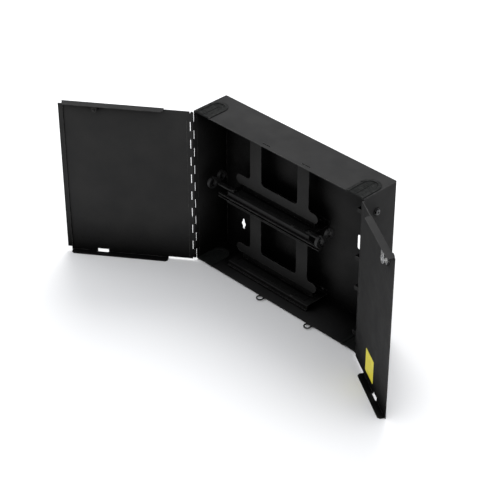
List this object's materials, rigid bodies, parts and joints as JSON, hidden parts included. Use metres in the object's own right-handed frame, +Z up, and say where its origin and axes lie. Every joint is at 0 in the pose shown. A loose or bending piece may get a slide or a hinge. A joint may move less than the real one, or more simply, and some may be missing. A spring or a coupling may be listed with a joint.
{
  "type": "fiber termination box",
  "caption": "Shallow wall-mount sheet-metal fibre termination box with two hinged doors, cam latches, rubber cable entries, shelf frames and padlock eyes.",
  "frame": {"origin": "centre of the back panel's rear face, which lies on the wall", "axes": "+X to the right seen from the front, +Y into the wall, +Z up; the doors open towards -Y and stand open at rest"},
  "size_m": [0.749, 0.2326, 0.321],
  "materials": {
    "black_powder_coat": "fine-textured satin black powder coat",
    "dark_steel": "dark zinc-plated steel",
    "zinc": "bright nickel or zinc plate",
    "black_rubber": "matte black rubber",
    "black_plastic": "satin black moulded plastic",
    "pad": "black hook-and-loop pad",
    "yellow_label": "satin yellow film, blank"
  },
  "bodies": {
    "enclosure": {"body_wrap": "black_powder_coat", "bottom_panel": "black_powder_coat", "entry_flaps_bottom_left": "black_rubber", "entry_flaps_bottom_right": "black_rubber", "entry_flaps_top_left": "black_rubber", "entry_flaps_top_right": "black_rubber", "grommet_bottom_left": "black_rubber", "grommet_bottom_right": "black_rubber", "grommet_top_left": "black_rubber", "grommet_top_right": "black_rubber", "ground_nut": "zinc", "ground_screw": "dark_steel", "ground_washer": "dark_steel", "guide_left": "black_plastic", "guide_right": "black_plastic", "guide_rivets": "black_powder_coat", "lacing_bar": "black_powder_coat", "lacing_bar_rivets": "black_powder_coat", "left_hinge_body_leaf": "black_powder_coat", "left_hinge_pin": "black_powder_coat", "lower_frame": "black_powder_coat", "lower_frame_rivets": "black_powder_coat", "lower_shelf": "black_powder_coat", "lower_shelf_pad": "pad", "lower_shelf_rivets": "black_powder_coat", "right_hinge_body_leaf": "black_powder_coat", "right_hinge_pin": "black_powder_coat", "shelf_studs": "black_powder_coat", "top_foot_rivets": "black_powder_coat", "top_panel": "black_powder_coat", "upper_frame": "black_powder_coat", "upper_frame_rivets": "black_powder_coat", "upper_shelf": "black_powder_coat", "upper_shelf_pad": "pad", "upper_shelf_rivets": "black_powder_coat", "wall_tab_1": "black_powder_coat", "wall_tab_2": "black_powder_coat", "wall_tab_3": "black_powder_coat", "wall_tab_4": "black_powder_coat"},
    "left_door_body": {"left_door": "black_powder_coat", "left_hinge_door_leaf": "black_powder_coat", "latch_barrel": "black_plastic", "latch_nut": "black_plastic"},
    "latch_body": {"latch_knob": "black_plastic", "latch_cam": "black_powder_coat", "latch_cam_screw": "black_powder_coat"},
    "right_door_body": {"right_door": "black_powder_coat", "right_hinge_door_leaf": "black_powder_coat", "lock_barrel": "zinc", "lock_collar": "black_plastic", "lock_nut": "zinc", "blank_label": "yellow_label"},
    "lock_body": {"lock_plug": "zinc", "lock_cam": "zinc", "lock_cam_screw": "zinc"}
  },
  "joints": [
    {"name": "left_door_hinge", "type": "hinge", "parent": "enclosure", "child": "left_door_body", "pos_m": [-0.20425, -0.08335, 0], "axis": [0, 0, -1], "range_deg": [-143.6, 36.4]},
    {"name": "right_door_hinge", "type": "hinge", "parent": "enclosure", "child": "right_door_body", "pos_m": [0.20425, -0.08335, 0], "axis": [0, 0, 1], "range_deg": [-149.1, 30.9]},
    {"name": "latch_turn", "type": "hinge", "parent": "left_door_body", "child": "latch_body", "pos_m": [-0.33827, -0.19639, 0.1505], "axis": [0.5934, -0.8049, 0], "range_deg": [0, 180]},
    {"name": "lock_turn", "type": "hinge", "parent": "right_door_body", "child": "lock_body", "pos_m": [0.31871, -0.1652, 0.14], "axis": [-0.5135, -0.8581, 0], "range_deg": [0, 180]}
  ]
}
